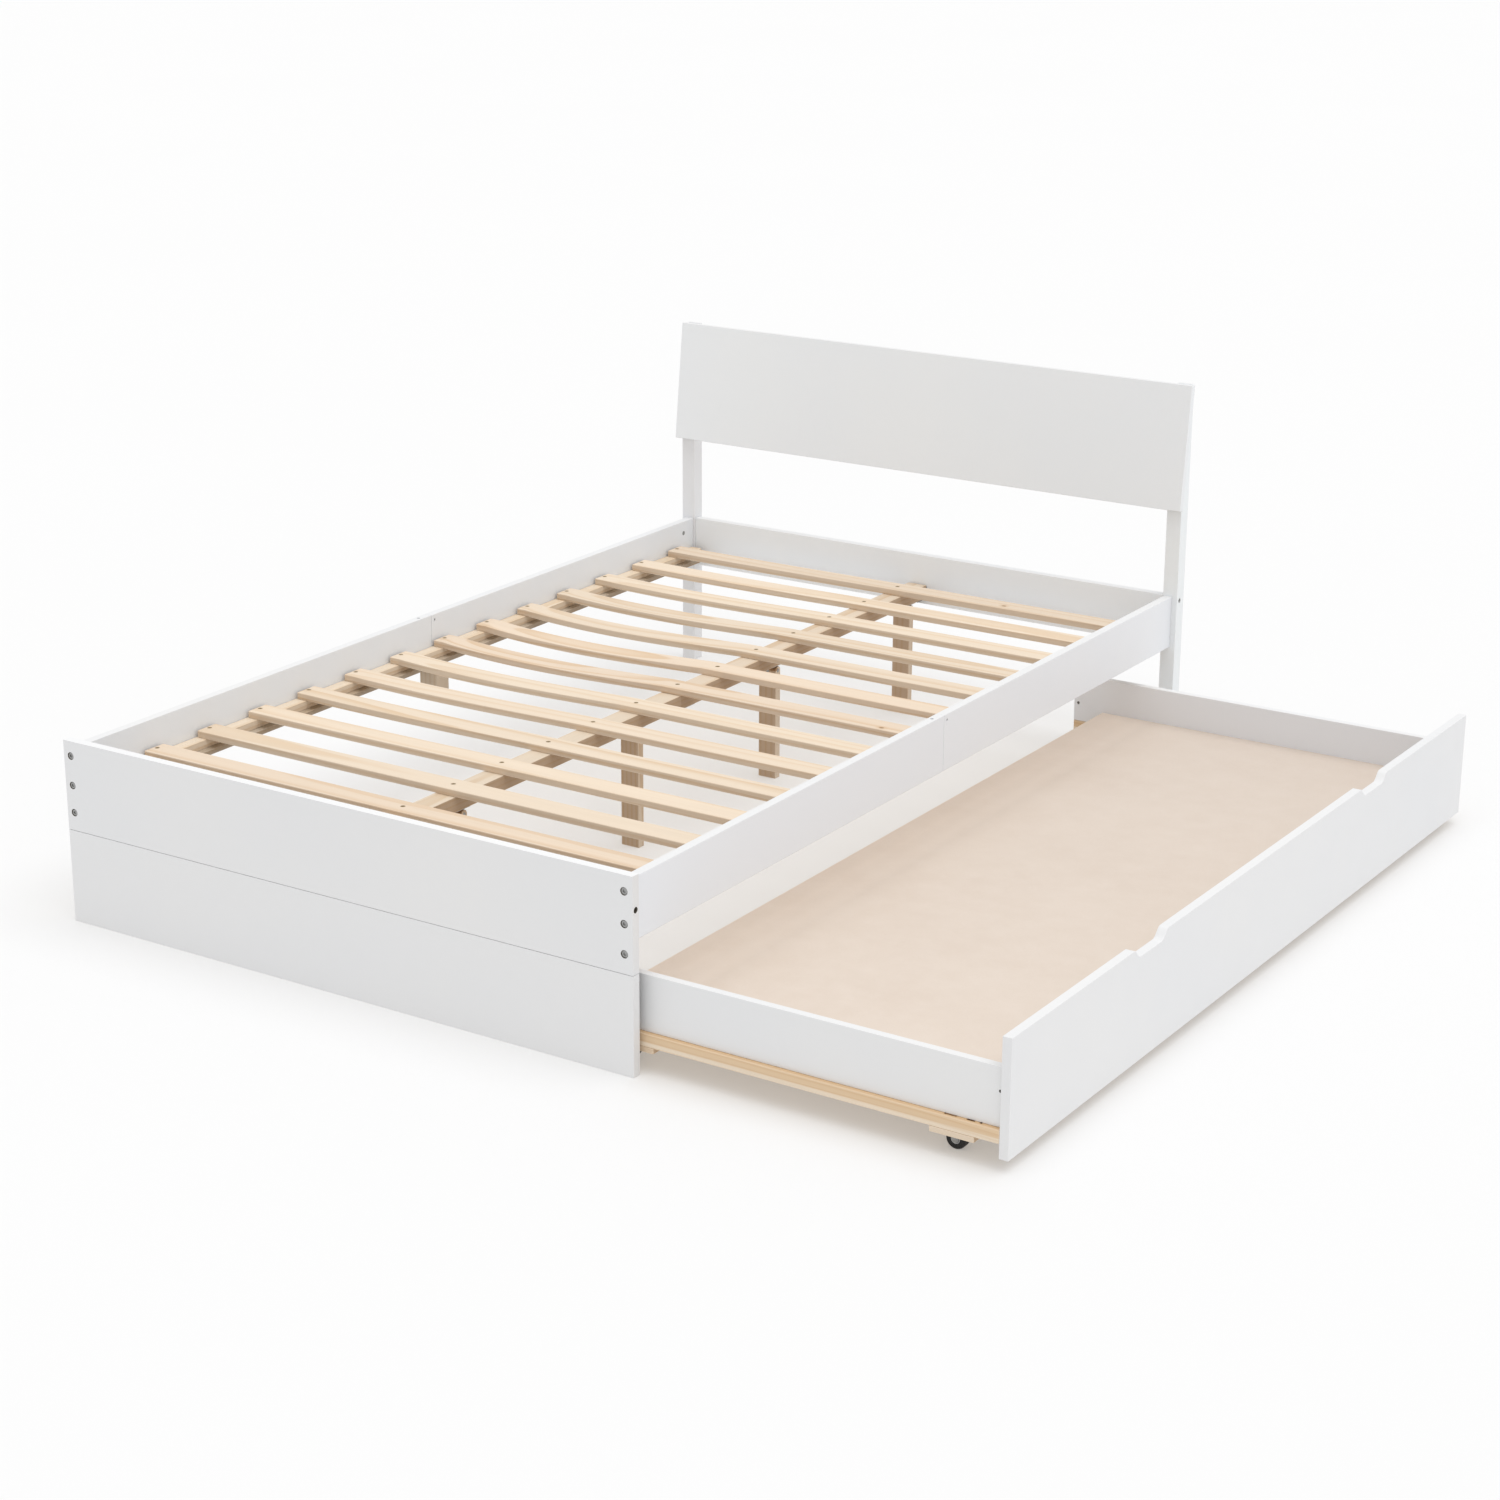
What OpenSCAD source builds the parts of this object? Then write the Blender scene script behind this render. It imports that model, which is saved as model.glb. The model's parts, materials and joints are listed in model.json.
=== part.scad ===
// Trundle bed: a slatted bed frame with a low rolling trundle that parks underneath it.
// Millimetres, +Z up. X runs across the bed, Y from the footboard to the headboard.
// The trundle is drawn pulled out to the right (+X).

/* [Bed frame] */
// Clear width between the side rails
well_w = 1210; // [1200:5:1230]
// Length of the side rails, from the footboard to the head posts
rail_l = 2010; // [2005:5:2030]
// Thickness of the rails and of the footboard
board_t = 18; // [17:1:20]
// Height of the side rails' lower edge above the floor
rail_z = 234; // [232:1:240]
// Depth of the side rails, top edge to lower edge
rail_h = 112; // [108:1:120]
// How far the footboard and the posts stand proud of each rail's outer face
rail_inset = 12; // [8:1:12]
// Height of the footboard
foot_h = 356; // [350:1:370]
// Height of the seam between the two footboard panels
foot_seam_z = 181.5; // [175:0.5:190]

/* [Headboard] */
// Side of the square head posts
post_w = 33; // [32:1:36]
// Height of the head posts
post_h = 802; // [780:1:830]
// Height of the headboard panel's lower front edge
panel_z = 538; // [530:1:545]
// Thickness of the headboard panel
panel_t = 15; // [14:1:16]
// How far the headboard panel leans back over its height
panel_lean = 30; // [26:1:32]
// How far the headboard panel reaches past each post
panel_over = 6; // [3:1:8]

/* [Slats and centre beam] */
// Height of the slats' top faces above the floor
slat_top = 293; // [290:1:296]
// Thickness of a slat
slat_t = 14; // [12:1:14]
// Width of a slat
slat_w = 52; // [45:1:56]
// Distance from one slat to the next
slat_pitch = 145.25; // [140:0.25:146]
// How far the slackest slats sag between the left strip and the centre beam
slat_bow = 10; // [4:1:12]
// Width of the centre beam
beam_w = 46; // [44:1:50]
// Height of the centre beam
beam_h = 30; // [28:1:32]

/* [Centre legs] */
// Leg width across the bed
leg_w = 42; // [38:1:44]
// Leg thickness along the bed
leg_t = 18; // [16:1:20]

/* [Trundle] */
// Length of the trundle, along the bed
trundle_l = 1912; // [1880:1:1914]
// Depth of the trundle, from the ends' inner edges to the front panel's outer face
trundle_d = 859; // [840:1:870]
// Height of the front panel's top edge
front_top = 230; // [225:1:231]
// Height of the front panel's lower edge
front_low = 23; // [18:1:26]
// Height of the end panels' top edges
end_top = 174; // [165:1:180]
// Thickness of the bed board
bed_board_t = 9; // [8:1:10]
// How far the trundle rolls out from its parked place
travel = 695; // [650:5:700]

/* [Castors] */
// Radius of the wheels
wheel_r = 18; // [17:0.5:18.5]
// Width of the tyres
wheel_w = 18; // [16:1:18]
// Radius of the fixed axles
axle_r = 4; // [3.5:0.5:4.5]

/* [Hidden] */
$fn = 48;

// Clearance between an axle or pin and what turns on it
running = 0.08;
// Half of the open joint between two boards of one panel
hairline = 0.4;
bolt_r = 3;
bolt_head_r = 7;
bolt_head_h = 2.5;
bolt_sink = 1;
barrel_r = 5;
screw_r = 2;
screw_head_r = 4.5;
screw_head_h = 2;
plate_t = 3;

// Bed
bed_half = well_w / 2 + board_t + rail_inset;
rail_in = well_w / 2;
rail_out = rail_in + board_t;
rail_mid = rail_in + board_t / 2 + 4;
rail_top = rail_z + rail_h;
rail_y0 = board_t;
rail_y1 = rail_y0 + rail_l;
head_back = rail_y1 + post_w;
seam_y = 1044;
joint_bolt_z = [rail_z + 12, rail_top - 12];
joint_nut_y = 32;
joint_nut_r = 3.5;
foot_bolt_z = [rail_top - 19, rail_top - 76, rail_z - 17];
head_bolt_z = [rail_z + 28, rail_z + 84];
cross_y = rail_y1 + 4;
cross_bolt_z = rail_top - 10;
nut_reach = 40;
end_hole_z = 295;
end_hole_r = 5.5;

// Headboard
lean = atan(panel_lean / (post_h - panel_z));
panel_y = rail_y1 - 20;
panel_h = (post_h - panel_z) / cos(lean);
panel_w = 2 * (bed_half + panel_over);
board_screw_z = [panel_z + 80, panel_z + 157, panel_z + 230];

// Slats, ledgers and beam
slat_count = 13;
slat_l = well_w - 10;
slat_first = 197;
slackest_slat = 8;
bow_steps = 36;
slat_low = slat_top - slat_t;
strip_w = 27;
strip_t = 17;
strip_in = rail_in - 1 - strip_w;
ledger_w = 43;
ledger_t = 10;
ledger_top = slat_low - strip_t;
beam_low = slat_low - beam_h;
beam_y = [rail_y0 + 2, seam_y, cross_y - 2];
splice_w = 36;
splice_l = 120;

// Centre legs: each folds up towards the foot about a pin close under the beam
leg_y = [345, 908, 1412, 1968];
leg_count = len(leg_y);
leg_pin_r = 4;
leg_gap = 3;
pivot_z = beam_low - leg_gap - leg_t / 2;
hinge_t = 2;
hinge_half = 20;
lug_t = 6;
lug_half = 6;
side_play = 0.3;
slot_past = 4;

// Trundle
front_t = 17;
end_hole_at = 133;
end_t = 15;
trundle_y0 = rail_y0 + 8;
trundle_y1 = trundle_y0 + trundle_l;
front_out = rail_out + travel;
front_in = front_out - front_t;
end_in = front_out - trundle_d;
end_low = 72;
end_set = 9;
pine_low = 48;
pine_w = 24;
bearer_w = 44;
bearer_t = 19;
bearer_count = 5;
bed_board_low = end_low + bearer_t;
bed_board_in = end_in + 68;
notch_w = 130;
notch_floor_w = 78;
notch_d = 17;
notch_from_mid = 475;

// Castors
castor_plate_t = 10;
castor_plate_w = 72;
castor_plate_x = [[end_in + 100, end_in + 197], [front_in - 124, front_in - 44]];
castor_x = [end_in + 122, front_in - 95];
wheel_set = 44;
wheel_gap = 4;
hub_r = 8;
frame_t = 2;
flange_half = 22;
flange_d = 10;
cheek_r = 12;
axle_head_h = 1.5;

// The origin is under the middle of everything, on the floor
mid_x = (front_out - bed_half - panel_over) / 2;
mid_y = head_back / 2;

WHITE = "white";
PINE = "burlywood";
STEEL = "silver";

function two(i) = str(i < 10 ? "0" : "", i);
function reversed(points) = [for (i = [len(points) - 1 : -1 : 0]) points[i]];
function around(middle, half) = [middle - half, middle + half];
// Top or lower edge of slat i at height z, from end to end. It sags between the left strip and the beam,
// most in the slats past the middle
function slat_bow_of(i) = slat_bow * exp(-pow((i - slackest_slat) / 3.2, 2));
function slat_edge(i, z) = let (from = -strip_in + 1, to = -beam_w / 2 - 1) concat(
    [[-slat_l / 2, z]],
    [for (n = [0 : bow_steps]) let (t = n / bow_steps)
        [from + t * (to - from), z - slat_bow_of(i) * sin(180 * pow(t, 0.8))]],
    [[slat_l / 2, z]]
);
function slat_y(i) = slat_first + (i - 1) * slat_pitch;
function panel_back(z) = panel_y + panel_t / cos(lean) + (z - panel_z) * tan(lean);
function bearer_y(i) = trundle_y0 + end_set + end_t
    + i * (trundle_l - 2 * (end_set + end_t) - bearer_w) / (bearer_count - 1);

// ---- Shapes used by many pieces

// A square-cut board between two corners
module board(x, y, z) {
    translate([x[0], y[0], z[0]]) cube([x[1] - x[0], y[1] - y[0], z[1] - z[0]]);
}

module rod_x(x, y, z, r) {
    translate([x[0], y, z]) rotate([0, 90, 0]) cylinder(r = r, h = x[1] - x[0]);
}

module rod_y(x, y, z, r) {
    translate([x, y[0], z]) rotate([-90, 0, 0]) cylinder(r = r, h = y[1] - y[0]);
}

module rod_z(x, y, z, r) {
    translate([x, y, z[0]]) cylinder(r = r, h = z[1] - z[0]);
}

// An outline in Y and Z, made thick along X
module yz_slab(x, points) {
    translate([x[0], 0, 0]) rotate([90, 0, 90]) linear_extrude(x[1] - x[0]) polygon(points);
}

// The right-hand half's children on the right, and mirrored on the left
module on_side(side) {
    mirror([side < 0 ? 1 : 0, 0, 0]) children();
}

module both_sides() {
    for (side = [-1, 1]) on_side(side) children();
}

// The foot end's children, and mirrored at the trundle's head end
module trundle_end(end) {
    if (end == "foot") children();
    else translate([0, trundle_y0 + trundle_y1, 0]) mirror([0, 1, 0]) children();
}

module both_trundle_ends() {
    for (end = ["foot", "head"]) trundle_end(end) children();
}

// ---- Fasteners, each drawn once and used again to cut its own hole

module foot_bolts() {
    shank_y = bolt_sink + bolt_head_h;
    for (z = foot_bolt_z) {
        rod_y(rail_mid, [bolt_sink, shank_y], z, bolt_head_r);
        rod_y(rail_mid, [shank_y, z > rail_z ? rail_y0 + nut_reach + 2 : rail_y0 + plate_t], z, bolt_r);
    }
}

module head_bolts() {
    for (z = head_bolt_z) {
        rod_y(rail_in + board_t / 2, [rail_y1 - nut_reach - 2, head_back - 5], z, bolt_r);
        rod_y(rail_in + board_t / 2, [head_back - 5, head_back - 1], z, bolt_head_r - 1);
    }
    rod_x([bed_half - post_w - nut_reach, bed_half - 4], cross_y + board_t / 2, cross_bolt_z, bolt_r);
    rod_x([bed_half - 4, bed_half - 1], cross_y + board_t / 2, cross_bolt_z, 5);
}

// Bolts along the rail across the middle seam, close to its top and lower edges
module rail_joint_bolts() {
    for (z = joint_bolt_z) rod_y(rail_in + board_t / 2, around(seam_y, 38), z, 2.5);
}

module beam_bolts() {
    low = beam_low - plate_t;
    for (y = [-40, 40]) {
        rod_z(0, seam_y + y, [low, slat_low - 4], bolt_r);
        rod_z(0, seam_y + y, [low - bolt_head_h, low], bolt_head_r - 1);
    }
}

module nut_barrels() {
    for (z = [foot_bolt_z[0], foot_bolt_z[1]]) rod_x([rail_in, rail_out - 3], rail_y0 + nut_reach, z, barrel_r);
    for (z = head_bolt_z) rod_x([rail_in, rail_out - 3], rail_y1 - nut_reach, z, barrel_r);
    rod_z(bed_half - post_w - nut_reach + 4, cross_y + board_t / 2, [rail_z + 84, cross_bolt_z + 6], barrel_r);
    for (z = joint_bolt_z) rod_z(rail_in + board_t / 2, seam_y - joint_nut_y, around(z, 9), joint_nut_r);
}

// What is bored in each rail for its middle joint
module rail_joint_holes() {
    y = seam_y - joint_nut_y;
    for (z = [rail_z, rail_top]) rod_z(rail_in + board_t / 2, y, around(z, 6), joint_nut_r);
    rod_x([rail_in - 1, rail_out + 1], seam_y + 11, joint_bolt_z[1], 2.5);
    rail_joint_bolts();
    nut_barrels();
}

module slat_screws(i) {
    for (x = [-(rail_in - 14), 0, rail_in - 14]) {
        rod_z(x, slat_y(i), [slat_top - screw_head_h, slat_top], screw_head_r);
        rod_z(x, slat_y(i), [slat_low - 12, slat_top - screw_head_h], screw_r);
    }
}

module headboard_screws() {
    for (z = board_screw_z) {
        rod_y(bed_half - post_w / 2, [panel_back(z) - 9, head_back - screw_head_h], z, screw_r);
        rod_y(bed_half - post_w / 2, [head_back - screw_head_h, head_back], z, screw_head_r);
    }
}

module plate_screws() {
    for (z = [115, 160]) rod_y(rail_in - 12, [board_t - 12, board_t + plate_t], z, screw_r);
}

module panel_bolts() {
    for (z = [end_low + 30, end_top - 28])
        rod_x([front_in - 40, front_in + 10], trundle_y0 + end_set + end_t / 2, z, bolt_r);
}

// ---- Headboard end

module headboard_panel() {
    color(WHITE) difference() {
        translate([-panel_w / 2, panel_y, panel_z]) rotate([-lean, 0, 0]) cube([panel_w, panel_t, panel_h]);
        both_sides() headboard_screws();
    }
}

// The post's upper part is cut back along the leaning panel
module head_post(side) {
    outline = [
        [rail_y1, 0], [head_back, 0], [head_back, post_h], [panel_back(post_h), post_h],
        [rail_y1, panel_z + (rail_y1 - panel_back(panel_z)) / tan(lean)]
    ];
    color(WHITE) on_side(side) difference() {
        yz_slab([bed_half - post_w, bed_half], outline);
        head_bolts();
        rod_x([bed_half - 4, bed_half + 1], cross_y + board_t / 2, cross_bolt_z, 5);
        for (z = head_bolt_z) rod_y(rail_in + board_t / 2, [head_back - 5, head_back + 1], z, bolt_head_r - 1);
        headboard_screws();
    }
}

module head_cross_rail() {
    color(WHITE) difference() {
        board([-(bed_half - post_w), bed_half - post_w], [cross_y, cross_y + board_t], [rail_z, rail_top]);
        both_sides() {
            head_bolts();
            nut_barrels();
        }
    }
}

// ---- Side rails: a foot half and a head half, butted together near the middle

module rail_half(side, y) {
    color(WHITE) on_side(side) difference() {
        board([rail_in, rail_out], y, [rail_z, rail_top]);
        foot_bolts();
        head_bolts();
        rail_joint_holes();
    }
}

module rail_joint_blocks() {
    y = [seam_y - 44, seam_y - 4];
    top = ledger_top - ledger_t;
    color(PINE) {
        on_side(-1) board([rail_in - 45, rail_in], y, [rail_z - 44, top]);
        on_side(1) board([rail_in - 45, rail_in], y, [rail_z + 2, top]);
    }
}

// ---- Footboard: two stacked panels, joined behind by steel plates

module footboard_panel(z) {
    difference() {
        board([-bed_half, bed_half], [0, board_t], z);
        both_sides() {
            foot_bolts();
            for (z = foot_bolt_z) rod_y(rail_mid, around(0, bolt_sink), z, bolt_head_r);
            plate_screws();
            rod_x([bed_half - 25, bed_half + 1], board_t / 2, end_hole_z, end_hole_r);
        }
    }
}

module footboard_upper_panel() {
    color(WHITE) footboard_panel([foot_seam_z + hairline, foot_h]);
}

module footboard_lower_panel() {
    color(WHITE) footboard_panel([0, foot_seam_z - hairline]);
}

module footboard_joining_plates() {
    color(STEEL) both_sides() difference() {
        board([rail_in - 35, rail_in + 20], [board_t, board_t + plate_t], [95, rail_z - 4]);
        foot_bolts();
        plate_screws();
    }
}

// ---- Ledgers, strips, slats and the centre beam

module ledger(side) {
    color(PINE) on_side(side)
        board([rail_in - ledger_w, rail_in], [rail_y0 + 2, rail_y1 - 3], [ledger_top - ledger_t, ledger_top]);
}

module slat_strip(side) {
    color(PINE) on_side(side) difference() {
        board([strip_in, strip_in + strip_w], [rail_y0 + 12, rail_y1 - 8], [ledger_top, slat_low]);
        for (i = [1 : slat_count]) slat_screws(i);
    }
}

module slat(i) {
    color(PINE) difference() {
        translate([0, slat_y(i) + slat_w / 2, 0]) rotate([90, 0, 0]) linear_extrude(slat_w)
            polygon(concat(slat_edge(i, slat_top), reversed(slat_edge(i, slat_low))));
        slat_screws(i);
    }
}

// Beam half 0 is at the foot, half 1 at the head
module centre_beam(half) {
    color(PINE) difference() {
        board([-beam_w / 2, beam_w / 2], [beam_y[half], beam_y[half + 1]], [beam_low, slat_low]);
        for (i = [1 : slat_count]) slat_screws(i);
        beam_bolts();
    }
}

module beam_splice_plates() {
    color(STEEL) difference() {
        board(around(0, splice_w / 2), around(seam_y, splice_l / 2), [beam_low - plate_t, beam_low]);
        beam_bolts();
    }
}

// An angle at each end of the beam: an upright flange on the end board, a seat under the beam
module beam_hanger() {
    board([-beam_w / 2, beam_w / 2], [rail_y0, rail_y0 + 2], [beam_low - 2, slat_low - 4]);
    board([-beam_w / 2, beam_w / 2], [rail_y0, rail_y0 + 40], [beam_low - 2, beam_low]);
}

module beam_hangers() {
    color(STEEL) {
        beam_hanger();
        translate([0, cross_y + rail_y0, 0]) mirror([0, 1, 0]) beam_hanger();
    }
}

// ---- Centre legs on fold-up hinges

// Each leg's head is rounded about its pin and forked over the hinge's lug, so it can turn under the beam
module centre_leg(n) {
    y = leg_y[n - 1];
    color(PINE) difference() {
        union() {
            board([-leg_w / 2, leg_w / 2], [y - leg_t / 2, y + leg_t / 2], [0, pivot_z]);
            rod_x([-leg_w / 2, leg_w / 2], y, pivot_z, leg_t / 2);
        }
        rod_x([-leg_w / 2 - 1, leg_w / 2 + 1], y, pivot_z, leg_pin_r + running);
        rod_x(around(0, lug_t / 2 + side_play), y, pivot_z, leg_t / 2 + slot_past);
    }
}

// A steel plate under the beam with a lug, and the pin through lug and leg
module leg_hinge(y) {
    board(around(0, hinge_half), around(y, hinge_half), [beam_low - hinge_t, beam_low]);
    board(around(0, lug_t / 2), around(y, lug_half), [pivot_z, beam_low - hinge_t]);
    rod_x(around(0, lug_t / 2), y, pivot_z, leg_t / 2);
    rod_x(around(0, leg_w / 2), y, pivot_z, leg_pin_r);
}

module leg_hinges() {
    color(STEEL) for (y = leg_y) leg_hinge(y);
}

// ---- Groups of fasteners

module frame_bolts() {
    color(STEEL) {
        both_sides() {
            foot_bolts();
            head_bolts();
            rail_joint_bolts();
        }
        beam_bolts();
    }
}

module barrel_nuts() {
    color(STEEL) both_sides() difference() {
        nut_barrels();
        foot_bolts();
        head_bolts();
        rail_joint_bolts();
    }
}

module wood_screws() {
    color(STEEL) {
        for (i = [1 : slat_count]) slat_screws(i);
        both_sides() {
            headboard_screws();
            plate_screws();
        }
    }
}

// ---- Trundle

// One edge of a hand notch, eased from the panel's top edge down to the notch floor
function notch_side(y, dir, steps = 12) = [
    for (i = [0 : steps]) [
        y + dir * (notch_w / 2 - (notch_w - notch_floor_w) / 2 * i / steps),
        front_top - notch_d * (1 - cos(180 * i / steps)) / 2
    ]
];

function notch(y) = concat(notch_side(y, -1), reversed(notch_side(y, 1)));

module trundle_front_panel() {
    mid = (trundle_y0 + trundle_y1) / 2;
    outline = concat(
        [[trundle_y1, front_low], [trundle_y0, front_low], [trundle_y0, front_top]],
        notch(mid - notch_from_mid), notch(mid + notch_from_mid), [[trundle_y1, front_top]]
    );
    color(WHITE) difference() {
        yz_slab([front_in, front_out], outline);
        both_trundle_ends() panel_bolts();
    }
}

module trundle_end_panel(end) {
    y = trundle_y0 + end_set;
    color(WHITE) trundle_end(end) difference() {
        board([end_in, front_in], [y, y + end_t], [end_low, end_top]);
        panel_bolts();
        rod_y(front_in - 5, around(y, 4), end_hole_at, 2.5);
        rod_y(end_in + 10, around(y + end_t, 4), end_hole_at - 21, 3);
    }
}

// Pine rail under an end panel, with screw slots in its top edge over the castor
module trundle_end_rail(end) {
    color(PINE) trundle_end(end) difference() {
        board([end_in, front_in], [trundle_y0, trundle_y0 + pine_w], [pine_low, end_low]);
        for (slot = [[90, 11], [54, 7], [36, 2]])
            board(around(front_in - slot[0], slot[1]), around(trundle_y0 + end_set, 3), around(end_low, 3));
    }
}

module trundle_inner_rail() {
    color(PINE)
        board(
            [bed_board_in, bed_board_in + pine_w],
            [trundle_y0 + pine_w, trundle_y1 - pine_w], [pine_low, end_low]
        );
}

module trundle_bearers() {
    color(PINE) for (i = [0 : bearer_count - 1])
        board([bed_board_in, front_in], [bearer_y(i), bearer_y(i) + bearer_w], [end_low, bed_board_low]);
}

module trundle_board() {
    inset = end_set + end_t;
    color("wheat")
        board(
            [bed_board_in, front_in],
            [trundle_y0 + inset, trundle_y1 - inset], [bed_board_low, bed_board_low + bed_board_t]
        );
}

module trundle_bolts() {
    color(STEEL) both_trundle_ends() panel_bolts();
}

// ---- Castors

// Thin pine plates under the end rails, one over each wheel
module castor_plates() {
    color(PINE) both_trundle_ends() for (x = castor_plate_x)
        board(x, [trundle_y0, trundle_y0 + castor_plate_w], [pine_low - castor_plate_t, pine_low]);
}

// A steel angle behind the wheel carries its fixed axle; a flat head keeps the wheel on
module castor_frame(x) {
    y = trundle_y0 + wheel_set;
    back = y + wheel_w / 2 + wheel_gap;
    front = y - wheel_w / 2 - side_play;
    low = pine_low - castor_plate_t;
    board(around(x, flange_half), [back, back + flange_d], [low - frame_t, low]);
    board(around(x, cheek_r), [back, back + frame_t], [wheel_r, low - frame_t]);
    rod_y(x, [back, back + frame_t], wheel_r, cheek_r);
    rod_y(x, [front, back], wheel_r, axle_r);
    rod_y(x, [front - axle_head_h, front], wheel_r, axle_r + 2);
}

module castor_frames() {
    color(STEEL) both_trundle_ends() for (x = castor_x) castor_frame(x);
}

// Wheel number w: 0 and 1 are the inner and the front castor
module castor_hub(end, w) {
    y = trundle_y0 + wheel_set;
    color("gray") trundle_end(end) difference() {
        rod_y(castor_x[w], around(y, wheel_w / 2), wheel_r, hub_r);
        rod_y(castor_x[w], around(y, wheel_w), wheel_r, axle_r + running);
    }
}

module castor_tyre(end, w) {
    y = trundle_y0 + wheel_set;
    color("black") trundle_end(end) difference() {
        rod_y(castor_x[w], around(y, wheel_w / 2), wheel_r, wheel_r);
        rod_y(castor_x[w], around(y, wheel_w), wheel_r, hub_r);
    }
}

// ---- Nodes

SLATS = [for (i = [1 : slat_count]) str("slat_", two(i))];
LEGS = [for (n = [1 : leg_count]) str("centre_leg_", n)];
CASTORS = [["foot", 0], ["foot", 1], ["head", 0], ["head", 1]];

function castor_name(piece, c) = str("castor_", piece, "_", c[1] == 0 ? "inner" : "front", "_", c[0]);

translate([-mid_x, -mid_y, 0]) {
    headboard_panel();
    head_post(-1);  // head_post_left
    head_post(1);  // head_post_right
    head_cross_rail();
    rail_half(-1, [rail_y0, seam_y - hairline]);  // side_rail_left_foot
    rail_half(-1, [seam_y + hairline, rail_y1]);  // side_rail_left_head
    rail_half(1, [rail_y0, seam_y - hairline]);  // side_rail_right_foot
    rail_half(1, [seam_y + hairline, rail_y1]);  // side_rail_right_head
    rail_joint_blocks();
    footboard_upper_panel();
    footboard_lower_panel();
    footboard_joining_plates();
    ledger(-1);  // ledger_left
    ledger(1);  // ledger_right
    slat_strip(-1);  // slat_strip_left
    slat_strip(1);  // slat_strip_right
    for (i = [1 : slat_count]) slat(i);
    centre_beam(0);  // centre_beam_foot
    centre_beam(1);  // centre_beam_head
    beam_splice_plates();
    beam_hangers();
    for (n = [1 : leg_count]) centre_leg(n);
    leg_hinges();
    frame_bolts();
    barrel_nuts();
    wood_screws();
    trundle_front_panel();
    trundle_end_panel("foot");  // trundle_end_panel_foot
    trundle_end_panel("head");  // trundle_end_panel_head
    trundle_end_rail("foot");  // trundle_end_rail_foot
    trundle_end_rail("head");  // trundle_end_rail_head
    trundle_inner_rail();
    trundle_bearers();
    trundle_board();
    trundle_bolts();
    castor_plates();
    castor_frames();
    for (c = CASTORS) {
        castor_hub(c[0], c[1]);
        castor_tyre(c[0], c[1]);
    }
}
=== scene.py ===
"""Looks for the trundle bed.

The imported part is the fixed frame. Each CAD node is rebuilt here as a finished piece on the same solids:
boards get eased edges, bolts and screws get sockets, recesses and threads, castors get moulded wheels. Every
piece has a procedural material. A pale floor, soft light and the camera follow. All lengths are in metres.
"""

import json
import math
import random

import bmesh
import bpy
from mathutils import Matrix, Vector


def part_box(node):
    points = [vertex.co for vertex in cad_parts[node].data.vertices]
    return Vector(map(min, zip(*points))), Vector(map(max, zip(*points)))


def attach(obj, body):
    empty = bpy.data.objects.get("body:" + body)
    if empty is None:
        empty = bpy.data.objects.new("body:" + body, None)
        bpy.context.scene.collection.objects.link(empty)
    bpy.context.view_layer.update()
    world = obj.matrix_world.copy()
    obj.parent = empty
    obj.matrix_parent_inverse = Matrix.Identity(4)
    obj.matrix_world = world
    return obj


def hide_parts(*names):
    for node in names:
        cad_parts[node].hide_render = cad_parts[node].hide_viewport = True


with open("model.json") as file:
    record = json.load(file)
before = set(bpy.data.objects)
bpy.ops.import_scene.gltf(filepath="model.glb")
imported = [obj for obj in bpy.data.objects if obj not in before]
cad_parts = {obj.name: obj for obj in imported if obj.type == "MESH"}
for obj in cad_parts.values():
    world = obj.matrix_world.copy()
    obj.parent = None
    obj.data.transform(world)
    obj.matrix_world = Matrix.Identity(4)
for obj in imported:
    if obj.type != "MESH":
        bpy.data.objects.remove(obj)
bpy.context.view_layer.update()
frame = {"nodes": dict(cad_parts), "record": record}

NODES = frame["nodes"]
BODY_OF = {
    node: body
    for body, nodes in frame["record"]["behaviour"]["bodies"].items()
    for node in nodes
}
SLOT_OF = {
    node: obj.data.materials[0].name.split(".")[0] for node, obj in NODES.items()
}
MM = 0.001


def drawer(name):
    """Random numbers that are the same for a name at every run."""
    return random.Random("trundle bed " + name)


def of_kind(node, table, default):
    """The value of the first key in table that the node's name starts with, or default."""
    for start, value in table.items():
        if node.startswith(start):
            return value
    return default


# ------------------------------------------------------------------------------- reading the CAD solids

WELD = 0.01 * MM  # vertices nearer each other than this are one
FLAT = math.radians(0.05)  # faces that meet at less than this are one


def cad_mesh(node):
    """A CAD node's mesh as a bmesh, with doubled vertices merged and flat faces whole."""
    bm = bmesh.new()
    bm.from_mesh(NODES[node].data)
    bmesh.ops.remove_doubles(bm, verts=bm.verts, dist=WELD)
    bmesh.ops.dissolve_limit(bm, angle_limit=FLAT, verts=bm.verts, edges=bm.edges)
    return bm


def groups_of(items, neighbours):
    """Splits items into groups that hang together, where neighbours gives the items next to one."""
    left = {item: None for item in items}
    groups = []
    while left:
        group = [left.popitem()[0]]
        for item in group:
            for other in neighbours(item):
                if other in left:
                    del left[other]
                    group.append(other)
        groups.append(group)
    return groups


def extent(points):
    """Lowest and highest corner of some points."""
    return (
        Vector(min(p[i] for p in points) for i in range(3)),
        Vector(max(p[i] for p in points) for i in range(3)),
    )


def solids(node):
    """The points of each separate solid in a CAD node."""
    bm = cad_mesh(node)
    shells = groups_of(bm.verts, lambda v: [e.other_vert(v) for e in v.link_edges])
    points = [[v.co.copy() for v in shell] for shell in shells]
    bm.free()
    return sorted(points, key=lambda p: tuple(round(c, 4) for c in extent(p)[0]))


def long_axis(points):
    """Index of the axis along which some points spread most."""
    low, high = extent(points)
    size = high - low
    return max(range(3), key=lambda i: size[i])


# ----------------------------------------------------------------------------------------- eased boards

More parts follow.
